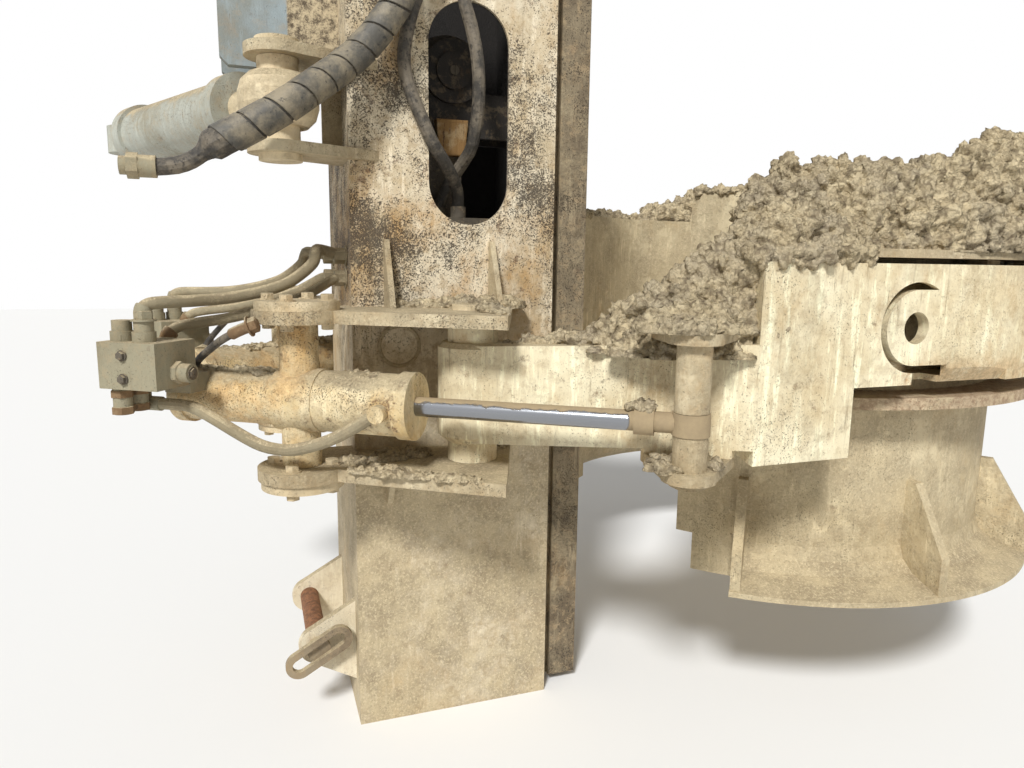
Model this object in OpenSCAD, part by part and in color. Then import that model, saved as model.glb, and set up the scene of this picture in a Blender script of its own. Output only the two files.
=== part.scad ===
// Mast foot of a rotary drilling mast with a hinged, hydraulically opened auger guide.
// X points forward to the auger, Y to the left of the machine, Z up.
// Heights are written above the underside of the foot; the origin is the centre of the
// top joint face, so the finished pieces are lowered by the height of the section.

/* [Mast] */
// Height of the mast section
mast_h = 2350; // [2250:10:2600]
// Depth of the mast box along X
mast_d = 550; // [480:10:640]
// Width of the mast box along Y
mast_w = 490; // [460:10:600]
// Thickness of the mast plates
mast_t = 14; // [10:1:20]
// Width of the oblong window in each side
window_w = 214; // [160:2:240]
// Length of the oblong window
window_l = 552; // [400:4:600]
// Height of the lower end of the window
window_z = 1377; // [1300:1:1450]
// Offset of the window forward of the box centre
window_x = 34; // [0:1:60]
// Diameter of the round inspection cover low on each side
cover_dia = 112; // [80:2:140]
// Height of the centre of the inspection cover
cover_z = 1062; // [1000:2:1100]

/* [Guide rails] */
// Width of each guide rail along Y
rail_w = 62; // [50:1:80]
// Depth of each guide rail along X
rail_d = 84; // [60:1:100]
// Free gap between the box and the back of the rail
rail_gap = 28; // [20:1:40]
// Distance of the rail's outer face from the side of the box
rail_inset = 33; // [20:1:60]
// Height at which the rails end above the foot
rail_z = 25; // [20:5:200]

/* [Joint flange] */
// Thickness of the joint flange
flange_t = 32; // [24:1:40]
// Overhang of the joint flange beyond the sides
flange_out = 75; // [60:1:100]
// Diameter of the joint bolt holes
flange_hole = 30; // [22:1:36]
// Spacing of the outer bolt holes along X
flange_pitch = 400; // [300:10:460]

/* [Hinge brackets] */
// Thickness of the bracket plates
bracket_t = 30; // [24:1:36]
// Height of the underside of the lower plate
bracket_z = 758; // [700:2:800]
// Clear height between the lower and the upper plate
bracket_gap = 346; // [320:2:380]
// Distance of the arm hinge from the centre plane
hinge_y = 400; // [380:2:440]
// Position of the arm hinge along X
hinge_x = 0; // [-20:2:20]
// Diameter of the arm hinge pin
hinge_dia = 70; // [60:1:80]
// Position of the cylinder trunnion along X
trunnion_x = -413; // [-430:1:-400]
// Distance of the cylinder trunnion from the centre plane
trunnion_y = 340; // [330:1:360]
// Diameter of the trunnion pins
trunnion_dia = 70; // [60:1:80]
// Diameter of the bolted trunnion caps
cap_dia = 196; // [180:2:210]
// Distance of the bracket's tip from the trunnion
bracket_reach = 520; // [480:5:560]

/* [Guide arm] */
// Angle of the hinge beam outward from X
beam_angle = 33; // [30:1:36]
// Length of the hinge beam from the pin to the knee
beam_l = 650; // [620:5:700]
// Width of the hinge beam and the side frame
beam_w = 150; // [140:2:180]
// Height of the hinge beam
beam_h = 250; // [220:2:270]
// Rise of the hinge beam from the pin to the knee
beam_rise = 28; // [10:1:36]
// Wall thickness of the hinge beam and the side frame
beam_t = 16; // [10:1:24]
// Height of the underside of the side frame
frame_z = 1002; // [990:2:1030]
// Height of the side frame
frame_h = 286; // [240:2:310]
// Length of the deep tongue behind the side frame
tongue_l = 250; // [200:5:300]
// Radius of the slinging lug on the side frame
sling_r = 90; // [70:1:100]
// Position of the slinging hole along X
sling_x = 966; // [930:2:980]
// Height of the slinging hole
sling_z = 1138; // [1110:2:1160]

/* [Auger guide] */
// Distance of the guide axis ahead of the box centre
guide_x = 1180; // [1160:5:1240]
// Outer radius of the guide wall
guide_r = 690; // [660:5:720]
// Outer radius of the lower rim
rim_r = 830; // [800:5:860]
// Thickness of the guide wall
guide_t = 14; // [10:1:20]
// Height of the lower rim
rim_z = 420; // [400:5:460]
// Height of the flared part
flare_h = 95; // [70:5:130]
// Height of the top edge of the guide wall
hopper_z = 1470; // [1440:5:1540]
// Height of the underside of the ring flange
ring_z = 930; // [900:5:945]
// Outer radius of the ring flange
ring_r = 806; // [780:2:830]
// Angle from the side to the rear end of the shell
shell_back = 55; // [45:1:60]
// Number of gussets on each half bell
gusset_n = 4; // [3:1:4]
// Angle from the side to the first gusset
gusset_back = 40; // [38:1:46]
// Angle between two gussets
gusset_pitch = 38; // [30:0.5:39]
// Height of the gussets above the rim
gusset_h = 290; // [240:5:320]

/* [Opening cylinder] */
// Distance of the rod pin from the hinge along the beam
lug_along = 535; // [520:5:580]
// Height of the cylinder axis below the middle of the brackets
axis_drop = 12; // [0:1:20]
// Clear height between the lug plates
lug_gap = 268; // [256:2:290]
// Distance of the rod pin from the middle of the beam
lug_off = 190; // [180:2:210]
// Diameter of the rod pin
rod_pin_dia = 60; // [50:1:64]
// Outer diameter of the cylinder tube
tube_dia = 132; // [120:1:140]
// Diameter of the collar at the trunnion
collar_dia = 152; // [145:1:160]
// Diameter of the piston rod
rod_dia = 45; // [40:1:46]
// Length of the cylinder behind the trunnion
tube_back = 320; // [280:5:325]
// Length of the cylinder ahead of the trunnion
tube_front = 300; // [280:5:320]
// Height of the rod eye
eye_h = 48; // [40:1:56]

/* [Stay] */
// Height of the centre of the stay clevis
stay_z = 1645; // [1620:5:1660]
// Distance of the stay pin behind the box
stay_out = 160; // [150:2:180]
// Distance of the stay pin from the centre plane
stay_y = 265; // [250:1:280]
// Clear height between the clevis plates
stay_gap = 190; // [170:2:210]
// Diameter of the stay pin
stay_pin_dia = 60; // [50:1:70]
// Outer diameter of the stay cylinder
stay_dia = 160; // [140:1:162]
// Distance between the eyes of the stay
stay_l = 900; // [860:10:960]
// Angle of the stay inward from the rear
stay_angle = 62; // [56:1:66]

/* [Foot] */
// Diameter of the foot pin
foot_pin_dia = 56; // [44:1:64]
// Height of the foot pin
foot_pin_z = 220; // [190:5:240]
// Distance of the foot pin behind the box
foot_pin_out = 104; // [90:2:130]
// Distance of each foot lug from the centre plane
foot_lug_y = 165; // [140:5:190]
// Length of the bent handle on the foot pin
bail_l = 196; // [150:2:220]
// Width of the bent handle on the foot pin
bail_w = 72; // [60:2:90]

/* [Rear bracket] */
// Distance of the carriage's pivot bore below the joint face
pivot_down = 270; // [230:5:310]
// Distance of the pivot bore behind the box
pivot_out = 185; // [170:5:210]
// Width between the outer faces of the two cheeks
pivot_w = 190; // [170:2:190]

/* [Sheave] */
// Height of the sheave above the lower end of the window
sheave_up = 420; // [380:5:440]
// Outer radius of the sheave
sheave_r = 107; // [95:1:120]

/* [Hidden] */

run = 0.05;              // radial clearance of pins that turn in their bores
gap = 1;                 // axial clearance between pieces that turn on each other
split = 3;               // half of the slit between the two halves of the guide

box_x = mast_d / 2;
box_y = mast_w / 2;
rail_x = box_x + rail_gap;
bracket_top = bracket_z + 2 * bracket_t + bracket_gap;
mid_z = bracket_z + bracket_t + bracket_gap / 2;    // middle of the bracket plates
axis_z = mid_z - axis_drop;                         // height of the cylinder axis
beam_z = mid_z - beam_h / 2;                        // underside of the beam at the hinge
hinge = [hinge_x, -hinge_y];
trunnion = [trunnion_x, -trunnion_y];
along = [cos(beam_angle), -sin(beam_angle)];        // along the beam, away from the hinge
outward = [-sin(beam_angle), -cos(beam_angle)];     // out of the beam, away from the mast
half = beam_w / 2;
knee = hinge + beam_l * along;
miter = (outward + [0, -1]) / (1 + cos(beam_angle));
rod_eye = hinge + lug_along * along + lug_off * outward;
reach = norm(rod_eye - trunnion);
swing = atan2(rod_eye[1] - trunnion[1], rod_eye[0] - trunnion[0]);
frame_y = knee[1] - half;                           // near face of the side frame
frame_r = -frame_y;                                 // radius of the curved front of the frame
frame_back = knee[0] + half * miter[0];
eye_r = 40;
boss_r = 62;
cap_t = 22;
lug_t = 24;
lug_mid = mid_z + beam_rise * lug_along / beam_l;   // middle of the two lug plates
pivot_x = -box_x - pivot_out;
pivot_z = mast_h - pivot_down;
sheave_z = window_z + sheave_up;
stay_pin = [-box_x - stay_out, -stay_y];
stay_ring = stay_dia / 2 + 10;                      // radius of the stay's end rings
header_z = mast_h - flange_t - 138;                 // underside of the hose fittings

// Points of the hose routes; the columns are x, y, z and the diameter there
bundle_route = [
  [-105, -318, 2180, 66], [-105, -318, 2120, 66], [-110, -318, 2050, 66],
  [-125, -318, 1970, 66], [-160, -318, 1885, 66], [-182, -318, 1848, 66],
  [-220, -322, 1796, 66], [-263, -330, 1748, 66], [-311, -350, 1704, 66],
  [-363, -378, 1661, 66], [-411, -402, 1621, 66], [-464, -410, 1584, 66],
  [-516, -410, 1553, 66], [-556, -408, 1530, 66], [-580, -406, 1516, 66],
  [-590, -405, 1508, 48], [-602, -404, 1498, 36], [-622, -402, 1484, 36],
  [-652, -400, 1472, 36], [-690, -400, 1467, 36]];
left_route = [
  [-35, -290, 2180, 34], [-42, -286, 2100, 34], [-75, -270, 1990, 34],
  [-115, -265, 1890, 34], [-138, -265, 1786, 34], [-130, -265, 1715, 34],
  [-99, -265, 1642, 34], [-66, -262, 1575, 34], [-20, -225, 1524, 34],
  [20, -172, 1475, 34], [32, -142, 1430, 34]];
right_route = [
  [60, -290, 2180, 34], [50, -284, 2100, 34], [28, -270, 2010, 34],
  [14, -265, 1930, 34], [32, -264, 1866, 34], [51, -260, 1783, 34],
  [60, -240, 1688, 34], [57, -200, 1592, 34], [42, -152, 1545, 34],
  [12, -106, 1490, 34], [-8, -88, 1430, 34]];
// Route of the hose along the opening cylinder, in the cylinder's own axes
barrel_route = [
  [-300, -112, -9, 28], [-265, -112, -9, 28], [-217, -112, -12, 28],
  [-162, -112, -35, 28], [-90, -112, -70, 28], [-37, -110, -92, 28],
  [14, -106, -99, 28], [54, -101, -95, 28], [126, -95, -71, 28],
  [190, -88, -36, 28], [222, -80, -14, 28]];

// Round pieces use enough segments that their flats stay inside the clearances.
$fn = 96;

module sided(s) {
  if (s < 0) children();
  else mirror([0, 1, 0]) children();
}

module tube(r_out, r_in, h) {
  difference() {
    cylinder(r = r_out, h = h);
    translate([0, 0, -1]) cylinder(r = r_in, h = h + 2);
  }
}

function unit(v) = v / norm(v);
function xyz(p) = [p[0], p[1], p[2]];
function curve(p, i, t) = let (n = len(p) - 1, a = p[max(i - 1, 0)], b = p[i],
    c = p[min(i + 1, n)], d = p[min(i + 2, n)])
  0.5 * (2 * b + (c - a) * t + (2 * a - 5 * b + 4 * c - d) * t * t
    + (3 * b - a - 3 * c + d) * t * t * t);
function rounded(p, k) = concat([for (i = [0 : len(p) - 2], j = [0 : k - 1]) curve(p, i, j / k)],
  [p[len(p) - 1]]);

// A hose swept along a route that never runs parallel to Y
module hose(route, k = 3, sides = 12) {
  p = rounded(route, k);
  n = len(p);
  points = [for (i = [0 : n - 1])
    let (t = unit(xyz(p[min(i + 1, n - 1)]) - xyz(p[max(i - 1, 0)])),
         u = unit(cross(t, [0, 1, 0])), v = cross(t, u))
    for (j = [0 : sides - 1]) let (a = 360 * j / sides)
      xyz(p[i]) + p[i][3] / 2 * (cos(a) * u + sin(a) * v)];
  walls = [for (i = [0 : n - 2], j = [0 : sides - 1]) let (m = (j + 1) % sides)
    each [[i * sides + j, (i + 1) * sides + j, (i + 1) * sides + m],
          [i * sides + j, (i + 1) * sides + m, i * sides + m]]];
  polyhedron(points, concat(walls, [[for (j = [0 : sides - 1]) j]],
    [[for (j = [sides - 1 : -1 : 0]) (n - 1) * sides + j]]));
}

module slot2d(w, l) {
  translate([0, w / 2]) circle(d = w);
  translate([0, l - w / 2]) circle(d = w);
  translate([-w / 2, w / 2]) square([w, l - w]);
}

// Mast box

module side_plate() {
  color("#d8cfb8") translate([0, -box_y + mast_t, 0]) rotate([90, 0, 0])
    linear_extrude(mast_t) difference() {
      translate([-box_x, 0]) square([mast_d, mast_h - flange_t]);
      translate([window_x, window_z]) slot2d(window_w, window_l);
    }
  color("#c8bfa8") translate([-156, -box_y, cover_z]) rotate([90, 0, 0])
    cylinder(d = cover_dia, h = 10);
}

module end_plate(x) {
  color("#d0c7b0") translate([x, -box_y + mast_t, 0])
    cube([mast_t, mast_w - 2 * mast_t, mast_h - flange_t]);
}

module guide_rails() {
  color("#b9ae98") for (s = [-1, 1]) sided(s)
    translate([0, -box_y + rail_inset, rail_z]) {
      translate([rail_x, 0, 0]) cube([rail_d, rail_w, mast_h - flange_t - rail_z]);
      translate([box_x, 18, 0]) cube([rail_gap, rail_w - 30, mast_h - flange_t - rail_z]);
    }
}

module joint_flange() {
  ear = box_y + flange_out / 2;
  color("#cfc6b0") translate([0, 0, mast_h - flange_t]) difference() {
    translate([-box_x - 30, -box_y - flange_out, 0])
      cube([mast_d + 30 + rail_gap + rail_d, mast_w + 2 * flange_out, flange_t]);
    translate([-box_x + 60, -box_y + 60, -1]) cube([mast_d - 120, mast_w - 120, flange_t + 2]);
    for (x = [-1, 0, 1], y = [-1, 1]) translate([x * flange_pitch / 2, y * ear, -1])
      cylinder(d = flange_hole, h = flange_t + 2);
  }
}

module foot_plate() {
  color("#a89e8a") translate([-box_x + mast_t, -box_y + mast_t, 30])
    cube([mast_d - 2 * mast_t, mast_w - 2 * mast_t, 20]);
}

// Hinge brackets on the sides of the mast

module bracket_outline() {
  tip = trunnion + bracket_reach * [cos(swing), sin(swing)] + 24 * [sin(swing), -cos(swing)];
  edge = trunnion + 135 * [cos(swing), sin(swing)] + 24 * [sin(swing), -cos(swing)];
  difference() {
    union() {
      translate(trunnion) circle(r = cap_dia / 2 + 7);
      polygon([trunnion + [0, cap_dia / 2 + 7], trunnion + [150, 200], [-box_x + 30, -box_y + 20],
               [165, -box_y + 20], tip + [8, 16], tip, edge, trunnion]);
    }
    translate([-box_x, -box_y]) square([mast_d, mast_w]);
    translate([-box_x - 300, -box_y + 60]) square([300, 300]);
  }
}

module bracket() {
  for (z = [bracket_z, bracket_z + bracket_t + bracket_gap])
    color("#c9bfa6") translate([0, 0, z]) linear_extrude(bracket_t) difference() {
      bracket_outline();
      translate(hinge) circle(d = hinge_dia);
      translate(trunnion) circle(d = trunnion_dia + 2 * run);
    }
  color("#c9bfa6") for (x = [-186, 95], up = [0, 1])
    translate([x + 7, -box_y, up ? bracket_top : bracket_z]) rotate([0, -90, 0])
      linear_extrude(14)
        polygon([[0, 0], [up ? 170 : -120, 0], [up ? 170 : -120, -12], [0, -95]]);
}

module trunnion_caps() {
  for (z = [bracket_z - cap_t, bracket_top])
    color("#8d8472") translate([trunnion[0], trunnion[1], z]) cylinder(d = cap_dia, h = cap_t);
}

module hinge_pin() {
  color("#77706a") translate([hinge[0], hinge[1], bracket_z - 14]) {
    cylinder(d = hinge_dia, h = bracket_top - bracket_z + 28);
    translate([0, 0, bracket_top - bracket_z + 14]) cylinder(d = hinge_dia + 34, h = 14);
    cylinder(d = hinge_dia + 34, h = 14);
  }
}

// Stay clevis, rear bracket and foot

module stay_clevis() {
  plate_t = 25;
  for (z = [stay_z - stay_gap / 2 - plate_t, stay_z + stay_gap / 2])
    color("#b5a88e") translate([0, 0, z]) linear_extrude(plate_t) difference() {
      union() {
        translate(stay_pin) circle(d = 150);
        polygon([stay_pin + [24, -71], [-box_x + 75, -box_y], [-box_x, -box_y],
                 [-box_x, -pivot_w / 2 - 15], stay_pin + [-24, 71]]);
      }
      translate(stay_pin) circle(d = stay_pin_dia);
    }
  color("#b5a88e") translate([-box_x - 50, -pivot_w / 2 - 31, stay_z - stay_gap / 2])
    cube([50, 16, stay_gap]);
}

module stay_pin_piece() {
  h = stay_gap + 50;
  color("#6f6a60") translate([stay_pin[0], stay_pin[1], stay_z - h / 2 - 12]) {
    cylinder(d = stay_pin_dia, h = h + 24);
    translate([0, 0, h + 12]) cylinder(d = 100, h = 16);
    translate([0, 0, -4]) cylinder(d = 100, h = 16);
  }
}

module rear_bracket() {
  low = stay_z + stay_ring + 22;
  high = pivot_z + 150;
  for (y = [-pivot_w / 2 + 30, pivot_w / 2]) color("#aab3b4") translate([0, y, 0])
    rotate([90, 0, 0]) linear_extrude(30) difference() {
      polygon([[-box_x, low], [pivot_x - 85, low], [pivot_x - 105, low + 20],
               [pivot_x - 105, pivot_z + 50], [pivot_x - 55, pivot_z + 100], [-box_x, high]]);
      translate([pivot_x, pivot_z]) circle(d = 90);
    }
  color("#aab3b4") translate([-box_x - 60, -pivot_w / 2 + 30, low + 10])
    cube([60, pivot_w - 60, pivot_z - low - 30]);
}

module foot_lugs() {
  for (y = [-foot_lug_y - 12, foot_lug_y - 12]) color("#c9c0aa")
    translate([-box_x, y + 24, foot_pin_z]) rotate([90, 0, 0]) linear_extrude(24)
      difference() {
        union() {
          translate([-foot_pin_out, 0]) circle(r = 52);
          polygon([[0, 118], [0, -118], [-foot_pin_out - 20, -48], [-foot_pin_out - 30, 42]]);
        }
        translate([-foot_pin_out, 0]) circle(d = foot_pin_dia);
      }
}

module foot_pin() {
  l = 2 * foot_lug_y + 24;
  color("#8a5a38") translate([-box_x - foot_pin_out, 0, foot_pin_z]) rotate([90, 0, 0]) {
    translate([0, 0, -l / 2 - 30]) cylinder(d = foot_pin_dia, h = l + 42);
    translate([0, 0, l / 2 + 12]) cylinder(d = foot_pin_dia + 8, h = 14);
    translate([0, 0, l / 2 + 24]) rotate([0, 0, 120]) linear_extrude(18) difference() {
      translate([0, -bail_l / 2]) slot2d(bail_w, bail_l);
      translate([0, 18 - bail_l / 2]) slot2d(bail_w - 36, bail_l - 36);
    }
  }
}

// Sheave inside the window

module sheave_frame() {
  cheek = 52;
  inner = mast_d - 2 * mast_t;
  color("#8b6a4c") for (s = [-1, 1]) sided(s) difference() {
    union() {
      translate([-box_x + mast_t, -cheek - 20, sheave_z - 170]) cube([inner, 20, 120]);
      translate([window_x - 45, -cheek - 20, sheave_z - 130]) cube([90, 20, 130]);
      translate([window_x, -cheek, sheave_z]) rotate([90, 0, 0]) cylinder(r = 84, h = 34);
    }
    translate([window_x, 0, sheave_z]) rotate([90, 0, 0]) cylinder(d = 60, h = cheek + 40);
  }
  color("#6b655c") translate([window_x, cheek + 44, sheave_z]) rotate([90, 0, 0])
    cylinder(d = 60, h = 2 * cheek + 88);
  color("#6b655c") for (s = [-1, 1]) sided(s) translate([window_x, -cheek - 34, sheave_z])
    rotate([90, 0, 0]) tube(49, 30, 10);
}

module sheave() {
  groove = sheave_r - 20;
  color("#6b655c") translate([window_x, 0, sheave_z]) rotate([90, 0, 0])
    rotate_extrude() polygon([[30 + run, -46], [52, -46], [52, -22], [groove - 14, -22],
      [groove, -34], [sheave_r, -34], [groove, 0], [sheave_r, 34], [groove, 34],
      [groove - 14, 22], [52, 22], [52, 46], [30 + run, 46]]);
}

// Hoses on the near side of the mast

module hose_header() {
  ends = [[-105, -318, 78], [-35, -290, 44], [60, -290, 44]];
  color("#7d7668") for (e = ends) translate([e[0], e[1], header_z])
    cylinder(d = e[2], h = 44);
  color("#7d7668") translate([-160, -box_y - 118, header_z + 44]) cube([280, 118, 46]);
  color("#7d7668") translate([-box_x + mast_t, -162, window_z - 17])
    cube([mast_d - 2 * mast_t, 110, 40]);
  color("#7d7668") for (e = [left_route, right_route]) let (p = e[len(e) - 1])
    translate([p[0], p[1], window_z + 23]) cylinder(d = 42, h = p[2] - window_z - 23);
}

module hose_coupling() {
  p = bundle_route[len(bundle_route) - 1];
  color("#8a8478") translate([p[0], p[1], p[2]]) rotate([0, -90, 0]) {
    cylinder(d = 46, h = 34);
    translate([0, 0, 34]) cylinder(d = 54, h = 22, $fn = 6);
    translate([0, 0, 56]) cylinder(d = 38, h = 14);
  }
}

// Arm of the guide, drawn for the near side

module beam_outline(w) {
  polygon([hinge + w * outward, knee + w * miter, knee - w * miter, hinge - w * outward]);
}

module beam_frame() {
  translate([hinge[0], hinge[1], beam_z]) rotate([0, 0, -beam_angle]) children();
}

// Wedge above or below a plane that rises along the beam
module slope(from, to) {
  x = [-0.2 * beam_l, 1.4 * beam_l];
  beam_frame() translate([0, beam_w, 0]) rotate([90, 0, 0]) linear_extrude(2 * beam_w)
    polygon([[x[0], from - 0.2 * beam_rise], [x[1], from + 1.4 * beam_rise], [x[1], to],
             [x[0], to]]);
}

module lug_outline() {
  translate(rod_eye) circle(r = 58);
  polygon([rod_eye - 58 * along, rod_eye + 58 * along,
           rod_eye + 100 * along - 140 * outward, rod_eye - 110 * along - 140 * outward]);
}

module beam_head() {
  r = half + 12;
  beam_frame() rotate_extrude()
    polygon([[0, 0], [r - 24, 0], [r, 20], [r, beam_h - 12], [r - 12, beam_h], [0, beam_h]]);
}

module beam() {
  color("#d6ccb2") difference() {
    union() {
      difference() {
        translate([0, 0, beam_z]) linear_extrude(beam_h + beam_rise + 10) beam_outline(half);
        slope(6, -20);
        slope(beam_h - 6, beam_h + 80);
      }
      beam_head();
      for (z = [lug_mid - lug_gap / 2, lug_mid + lug_gap / 2 - 24])
        translate([0, 0, z]) linear_extrude(24) intersection() {
          beam_outline(half);
          lug_outline();
        }
    }
    translate([hinge[0], hinge[1], beam_z - 1]) cylinder(r = hinge_dia / 2 + run, h = beam_h + 2);
    translate([0, 0, beam_z + beam_rise + beam_t])
      linear_extrude(beam_h - beam_rise - 2 * beam_t)
      polygon([hinge + 110 * along + (half - beam_t) * outward, knee + (half - beam_t) * miter,
               knee - (half - beam_t) * miter, hinge + 110 * along - (half - beam_t) * outward]);
  }
  for (z = [[bracket_z + bracket_t + gap, beam_z],
            [beam_z + beam_h, bracket_top - bracket_t - gap]])
    color("#b9ad92") translate([hinge[0], hinge[1], z[0]])
      tube(boss_r, hinge_dia / 2 + run, z[1] - z[0]);
}

module frame_outline(inset) {
  difference() {
    union() {
      polygon([knee + (half - inset) * miter, knee - (half - inset) * miter,
               [knee[0] + 200, knee[1] + half - inset], [guide_x, knee[1] + half - inset],
               [guide_x, frame_y + inset]]);
      translate([guide_x, 0]) intersection() {
        circle(r = frame_r - inset);
        translate([0, -frame_r]) square([frame_r, frame_r - split - inset]);
      }
    }
    translate([guide_x, 0]) circle(r = guide_r + inset);
  }
}

module frame() {
  color("#d8ceb4") difference() {
    union() {
      translate([0, 0, frame_z]) linear_extrude(frame_h) frame_outline(0);
      translate([0, 0, beam_z]) linear_extrude(frame_z - beam_z) intersection() {
        frame_outline(0);
        translate([frame_back, frame_y]) square([tongue_l + 20, beam_w]);
      }
    }
    translate([0, 0, frame_z + beam_t]) linear_extrude(frame_h - 2 * beam_t)
      difference() {
        frame_outline(beam_t);
        translate([knee[0] - 200, frame_y - 1]) square([560, 200]);
      }
    translate([guide_x, 0, ring_z]) cylinder(r = ring_r, h = 30);
    translate([sling_x, frame_y + 70, sling_z]) rotate([90, 0, 0]) cylinder(r = sling_r + 18, h = 80);
    translate([sling_x, frame_y - 10, frame_z - 10]) cube([sling_r + 18, 80, sling_z - frame_z + 10]);
    translate([sling_x + sling_r + 17, frame_y, frame_z]) rotate([0, 90, 0])
      linear_extrude(guide_x - sling_x) polygon([[1, -1], [-38, -1], [1, 25]]);
  }
  color("#cbbf9f") translate([sling_x, frame_y + 30, sling_z]) rotate([90, 0, 0])
    linear_extrude(30) difference() {
      union() {
        circle(r = sling_r);
        translate([0, -sling_r]) square([sling_r + 18, 2 * sling_r]);
      }
      circle(r = 38);
    }
}

module arc_sector(from, to, r) {
  polygon(concat([[0, 0]], [for (i = [0 : 12]) let (a = from + (to - from) * i / 12)
    r * [cos(a), sin(a)]]));
}

module guide_revolve(back, ahead = 90) {
  translate([guide_x, 0, 0]) intersection() {
    rotate_extrude($fn = 144) children();
    linear_extrude(mast_h) intersection() {
      arc_sector(-90 - back, -90 + ahead, 1200);
      translate([-1200, -1200]) square([2400, 1200 - split]);
    }
  }
}

module shell() {
  wall_z = rim_z + flare_h + 12;
  color("#cdc2a8") guide_revolve(shell_back) polygon([
    [guide_r - guide_t, ring_z + 30], [guide_r - guide_t, wall_z], [guide_r, wall_z],
    [guide_r, ring_z], [ring_r, ring_z], [ring_r, ring_z + 30]]);
  color("#cdc2a8") guide_revolve(gusset_back + 1) polygon([
    [guide_r - guide_t, wall_z], [guide_r - guide_t, rim_z + flare_h],
    [guide_r - guide_t + 10, rim_z + flare_h * 0.6], [guide_r - guide_t + 45, rim_z + flare_h * 0.28],
    [rim_r - 12, rim_z], [rim_r, rim_z], [rim_r, rim_z + 14], [guide_r + 48, rim_z + flare_h * 0.46],
    [guide_r + 14, rim_z + flare_h * 0.75], [guide_r, wall_z]]);
  color("#cdc2a8") guide_revolve(shell_back - 4, -gusset_back) translate([guide_r - guide_t, rim_z])
    square([guide_t, wall_z - rim_z]);
  color("#cdc2a8") for (i = [0 : gusset_n - 1]) let (a = -90 - gusset_back + i * gusset_pitch)
    translate([guide_x, 0, 0]) rotate([0, 0, a]) translate([0, 13, 0]) rotate([90, 0, 0])
      linear_extrude(26)
        polygon([[guide_r - 5, rim_z + gusset_h], [guide_r - 5, rim_z + flare_h + 5],
                 [guide_r + 12, rim_z + flare_h * 0.65], [guide_r + 48, rim_z + flare_h * 0.4],
                 [rim_r - 6, rim_z + 10], [rim_r - 6, rim_z + 115],
                 [guide_r + 30, rim_z + gusset_h]]);
}

module hopper() {
  color("#c4b99f") guide_revolve(shell_back)
    translate([guide_r - guide_t, ring_z + 30]) square([guide_t, hopper_z - ring_z - 30]);
}

module ledge() {
  z = frame_z + frame_h;
  color("#b8ab90") translate([0, 0, z + 14]) linear_extrude(20) difference() {
    union() {
      polygon([[knee[0] + 60, frame_y + 10], [knee[0] + 60, knee[1] + 94],
               [knee[0] + 175, knee[1] + 284], [guide_x, -guide_r + 30], [guide_x, frame_y + 10]]);
      translate([guide_x, 0]) intersection() {
        circle(r = frame_r - 10);
        translate([0, -frame_r]) square([frame_r, frame_r - split]);
      }
    }
    translate([guide_x, 0]) circle(r = guide_r);
  }
  color("#b8ab90") for (a = [-84, -60, -36, -12]) translate([guide_x, 0, z]) rotate([0, 0, a])
    translate([guide_r + 30, -25, 0]) cube([60, 50, 18]);
  color("#b8ab90") translate([knee[0] + 40, knee[1] - 20, z]) cube([90, 60, 18]);
}

module lugs() {
  for (z = [lug_mid - lug_gap / 2 - lug_t, lug_mid + lug_gap / 2]) color("#c3b798")
    translate([0, 0, z]) linear_extrude(lug_t) difference() {
      lug_outline();
      translate(rod_eye) circle(d = rod_pin_dia);
    }
}

module rod_pin() {
  low = lug_mid - lug_gap / 2;
  high = lug_mid + lug_gap / 2;
  eye_low = axis_z - eye_h / 2 - gap;
  eye_high = axis_z + eye_h / 2 + gap;
  color("#8f8775") translate([rod_eye[0], rod_eye[1], 0]) {
    translate([0, 0, low - lug_t - 16]) cylinder(d = rod_pin_dia, h = eye_low - low + lug_t + 16);
    translate([0, 0, eye_high]) cylinder(d = rod_pin_dia, h = high + lug_t + 16 - eye_high);
    translate([0, 0, low]) tube(rod_pin_dia / 2 + 7, rod_pin_dia / 2, eye_low - low);
    translate([0, 0, eye_high]) tube(rod_pin_dia / 2 + 7, rod_pin_dia / 2, high - eye_high);
    translate([0, 0, high + lug_t]) tube(rod_pin_dia / 2 + 12, rod_pin_dia / 2, 10);
    translate([0, 0, low - lug_t - 10]) tube(rod_pin_dia / 2 + 12, rod_pin_dia / 2, 10);
  }
}

// Opening cylinder, drawn with its axis on X from the trunnion and turned into place

module cylinder_frame() {
  translate([trunnion[0], trunnion[1], axis_z]) rotate([0, 0, swing]) children();
}

module opening_cylinder() {
  bore_r = rod_dia / 2 + run;
  color("#cbb98c") cylinder_frame() {
    difference() {
      union() {
        rotate([0, 90, 0]) translate([0, 0, -tube_back]) cylinder(d = tube_dia, h = tube_back + 40);
        rotate([0, 90, 0]) translate([0, 0, 40]) cylinder(d = collar_dia - 6, h = tube_front - 40);
        rotate([0, 90, 0]) translate([0, 0, -46]) cylinder(d = collar_dia, h = 112);
        rotate([0, 90, 0]) translate([0, 0, tube_front - 34]) cylinder(d = collar_dia + 6, h = 34);
        rotate([0, 90, 0]) translate([0, 0, -tube_back]) cylinder(d = tube_dia + 12, h = 30);
        translate([0, 0, axis_drop - bracket_gap / 2 + gap])
          cylinder(d = trunnion_dia + 22, h = bracket_gap - 2 * gap);
        translate([0, 0, axis_drop - bracket_gap / 2 - bracket_t + 1])
          cylinder(d = trunnion_dia, h = bracket_gap + 2 * bracket_t - 2);
        translate([240, -40, -6]) rotate([90, 0, 0]) cylinder(d = 40, h = 58);
      }
      rotate([0, 90, 0]) translate([0, 0, -tube_back + 26])
        cylinder(r = tube_dia / 2 - 14, h = tube_back + tube_front - 26 - 60);
      rotate([0, 90, 0]) translate([0, 0, tube_front - 70]) cylinder(r = bore_r, h = 80);
    }
  }
}

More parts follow.
